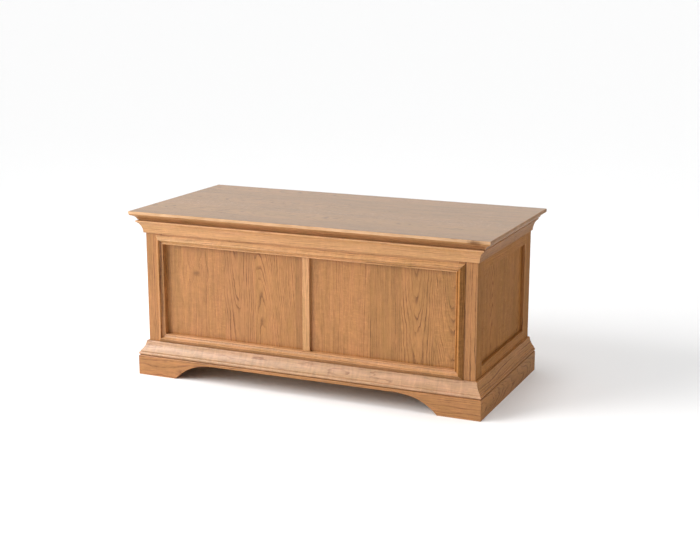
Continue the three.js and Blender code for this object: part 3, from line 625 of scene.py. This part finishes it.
wooden("panel_front_left", panel_oak, "oak_panel", Z, Y, LEFT_PANEL)
wooden("panel_front_right", panel_oak, "oak_panel", Z, Y, RIGHT_PANEL)
SIDE_EDGES = [-0.220, -0.118, -0.020, 0.086, 0.230]
for side in ("left", "right"):
    rng = random.Random("panel" + side)
    boards = glued(rng, SIDE_EDGES, ("quarter", "flat", "quarter", "flat"))
    finish = shaded_side_oak if side == "right" else panel_oak
    wooden(f"panel_{side}", finish, "oak_panel", Z, X, boards)
for side, edges in (("left", [-0.480, -0.370, -0.250, -0.135, 0.010]),
                    ("right", [-0.010, 0.110, 0.232, 0.350, 0.480])):
    rng = random.Random("rear" + side)
    boards = glued(rng, edges, ("flat", "quarter", "rift", "flat"))
    wooden(f"panel_rear_{side}", panel_oak, "oak_panel", Z, Y, boards)

for side, along, finish in (("top", X, pale_and_lit_oak), ("bottom", X, pale_and_lit_oak),
                            ("left", Z, moulding_oak), ("right", Z, side_moulding_oak)):
    single(f"panel_moulding_{side}", finish, "oak", along, Y, "quarter", 0.3 * MM)
for run, front_oak, cut in (("cornice", pale_and_lit_oak, "rift"), ("base_moulding", base_oak, "rift"),
                            ("plinth", moulding_oak, "flat")):
    single(f"{run}_front", front_oak, "oak", X, Y, cut, 0.5 * MM)
    for side in ("left", "right"):
        single(f"{run}_{side}", side_moulding_oak, "oak", Y, X, cut, 0.5 * MM)

wooden("lid", lid_oak, "oak_top", X, Z, glued(random.Random("lid"), LID_EDGES, LID_CUTS), 0.6 * MM,
       edge_material=lid_edge_highlight_oak, highlight_side=HIGHLIGHT_SIDE)
for side in ("left", "right"):
    single(f"lid_batten_{side}", frame_oak, "oak", Y, Z, "rift", 1.2 * MM)

for i in range(1, 5):
    single(f"floor_board_{i}", plain_oak, "inner_wood", X, Z, ("flat", "rift")[i % 2], 1.0 * MM)
for end in ("front", "rear"):
    single(f"floor_cleat_{end}", plain_oak, "inner_wood", X, Z, "rift", 0.8 * MM)
for side in ("left", "right"):
    single(f"floor_cleat_{side}", plain_oak, "inner_wood", Y, Z, "rift", 0.8 * MM)

# ---- Hardware -----------------------------------------------------------------------------------
for side in ("left", "right"):
    metalwork(f"hinge_{side}_rear_leaf", brass, "brass", 0.2 * MM)
    metalwork(f"hinge_{side}_lid_leaf", brass, "brass", 0.2 * MM)
    metalwork(f"hinge_{side}_pin", brass, "brass", 0.2 * MM)
    metalwork(f"stay_{side}_arm", steel, "steel")
    metalwork(f"stay_{side}_lid_bracket", steel, "steel")
    metalwork(f"stay_{side}_stud", steel, "steel")
    metalwork(f"lid_bumper_{side}", felt, "felt", 0.15 * MM)


def screw(name, body, centre, outwards, radius, material, slot_name):
    """A countersunk head with a turned slot: a disc, and two domed halves standing on it."""
    rng = random.Random(name)
    head = bmesh.new()
    slot_half, slot_floor, proud, sunk = 0.16 * radius, -0.35 * MM, 0.22 * MM, 0.5 * MM
    taper = 0.93
    sides, half_steps = 32, 14

    def prism(outline, low, high):
        lower = [head.verts.new((x, y, low)) for x, y in outline]
        upper = [head.verts.new((x * taper, y * taper, high)) for x, y in outline]
        head.faces.new(list(reversed(lower)))
        head.faces.new(upper)
        for i in range(len(outline)):
            j = (i + 1) % len(outline)
            head.faces.new((lower[i], lower[j], upper[j], upper[i]))

    def rim(angle):
        return radius * math.cos(angle), radius * math.sin(angle)

    prism([rim(2 * math.pi * i / sides) for i in range(sides)], -sunk, slot_floor)
    start = math.asin(slot_half / radius)
    half = [rim(start + (math.pi - 2 * start) * i / half_steps) for i in range(half_steps + 1)]
    for sign in (1, -1):
        outline = half if sign > 0 else [(-x, -y) for x, y in half]
        prism(outline, slot_floor, proud)
    mesh = bpy.data.meshes.new(name)
    bmesh.ops.bevel(
        head, geom=[e for e in head.edges if e.calc_face_angle(0) > ARRIS_ANGLE], offset=0.12 * MM,
        segments=1, affect="EDGES", clamp_overlap=True,
    )
    head.to_mesh(mesh)
    head.free()
    turn = Matrix.Rotation(rng.uniform(0, math.pi), 4, "Z")
    aim = Vector(outwards).to_track_quat("Z", "Y").to_matrix().to_4x4()
    mesh.transform(Matrix.Translation(centre) @ aim @ turn)
    return place(name, mesh, [material], body, slot_name)


LEAF = 2 * MM                       # thickness of the hinge leaves and of the stay brackets
LEAF_SCREWS = ((-22, 9), (0, 17), (22, 9))   # mm along the pin from its middle, mm from the free edge
BRACKET_SCREWS = (-5.5, 5.5)        # mm from the bracket's middle
BRACKET_PLATE = 9 * MM              # from the bracket's inner side to its screws
BATTEN_SCREWS = (0.10, 0.50, 0.90)  # shares of the batten's length
for side in ("left", "right"):
    low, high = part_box(f"hinge_{side}_rear_leaf")
    middle = (low.x + high.x) / 2
    for i, (dx, dz) in enumerate(LEAF_SCREWS):
        at = Vector((middle + dx * MM, low.y + LEAF, low.z + dz * MM))
        screw(f"hinge_{side}_rear_screw_{i + 1}", "carcass", at, (0, 1, 0), 3.4 * MM, brass, "brass")
    low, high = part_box(f"hinge_{side}_lid_leaf")
    for i, (dx, dy) in enumerate(LEAF_SCREWS):
        at = Vector((middle + dx * MM, low.y + dy * MM, high.z - LEAF))
        screw(f"hinge_{side}_lid_screw_{i + 1}", "lid", at, (0, 0, -1), 3.4 * MM, brass, "brass")
    low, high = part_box(f"stay_{side}_lid_bracket")
    sign = 1 if side == "right" else -1
    plate_x = (low.x if sign > 0 else high.x) + sign * BRACKET_PLATE
    for i, dy in enumerate(BRACKET_SCREWS):
        at = Vector((plate_x, (low.y + high.y) / 2 + dy * MM, high.z - LEAF))
        screw(f"stay_{side}_bracket_screw_{i + 1}", "lid", at, (0, 0, -1), 2.6 * MM, steel, "steel")
    low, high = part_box(f"lid_batten_{side}")
    for i, share in enumerate(BATTEN_SCREWS):
        at = Vector(((low.x + high.x) / 2, low.y + share * (high.y - low.y), low.z))
        screw(f"batten_{side}_screw_{i + 1}", "lid", at, (0, 0, -1), 3.6 * MM, steel, "steel")

# ---- Camera, floor and light --------------------------------------------------------------------
camera = bpy.data.objects.new("camera", bpy.data.cameras.new("camera"))
bpy.context.scene.collection.objects.link(camera)
camera.location = CAMERA_PLACE
camera.rotation_euler = (CAMERA_TARGET - CAMERA_PLACE).to_track_quat("-Z", "Y").to_euler()
camera.data.lens = CAMERA_LENS
camera.data.sensor_width = 36
camera.data.clip_end = CAMERA_REACH
bpy.context.scene.camera = camera

floor_mesh = bpy.data.meshes.new("studio_floor")
corners = [(sx * FLOOR_HALF, sy * FLOOR_HALF, 0) for sx, sy in ((-1, -1), (1, -1), (1, 1), (-1, 1))]
floor_mesh.from_pydata(corners, [], [(0, 1, 2, 3)])
floor_material, _, floor_shader = new_material("studio_floor")
floor_shader.inputs["Base Color"].default_value = (*FLOOR_TONE, 1)
floor_shader.inputs["Roughness"].default_value = 1.0
floor_shader.inputs["Specular IOR Level"].default_value = 0.0
floor_mesh.materials.append(floor_material)
floor = bpy.data.objects.new("studio_floor", floor_mesh)
bpy.context.scene.collection.objects.link(floor)


def aimed_lamp(name, kind, azimuth, elevation, power):
    """A lamp shining at the chest, and the direction in which it stands."""
    lamp = bpy.data.objects.new(name, bpy.data.lights.new(name, kind))
    bpy.context.scene.collection.objects.link(lamp)
    azimuth, elevation = math.radians(azimuth), math.radians(elevation)
    towards_lamp = Vector((-math.sin(azimuth) * math.cos(elevation),
                           -math.cos(azimuth) * math.cos(elevation), math.sin(elevation)))
    lamp.rotation_euler = towards_lamp.to_track_quat("Z", "Y").to_euler()
    lamp.data.energy = power
    return lamp, towards_lamp


for name, (azimuth, elevation, power, softness) in LIGHTS.items():
    lamp, _ = aimed_lamp(name, "SUN", azimuth, elevation, power)
    lamp.data.angle = math.radians(softness)
key, towards_key = aimed_lamp("key", "AREA", KEY["azimuth"], KEY["elevation"], KEY["power"])
key.location = CAMERA_TARGET + KEY["distance"] * towards_key
key.data.shape = "DISK"
key.data.size = KEY["size"]

# The studio round the chest: dim above and at the sides, with a white backdrop behind.
world = bpy.data.worlds.new("studio")
bpy.context.scene.world = world
world.use_nodes = True
tree = world.node_tree
background = next(n for n in tree.nodes if n.type == "BACKGROUND")
towards = tree.nodes.new("ShaderNodeTexCoord").outputs["Generated"]
split = tree.nodes.new("ShaderNodeSeparateXYZ")
tree.links.new(towards, split.inputs[0])
behind = ramp(tree, split.outputs[1], 0.25, 0.75)
low_down = ramp(tree, split.outputs[2], 0.35, 0.75, 1.0, 0.0)
backdrop = calc(tree, "MULTIPLY", behind, low_down)
strength = calc(tree, "MULTIPLY_ADD", backdrop, BACKDROP_LIGHT - WORLD_LIGHT, WORLD_LIGHT)
tree.links.new(strength, background.inputs["Strength"])
background.inputs["Color"].default_value = (1, 1, 1, 1)

bpy.context.scene.view_settings.view_transform = "Standard"
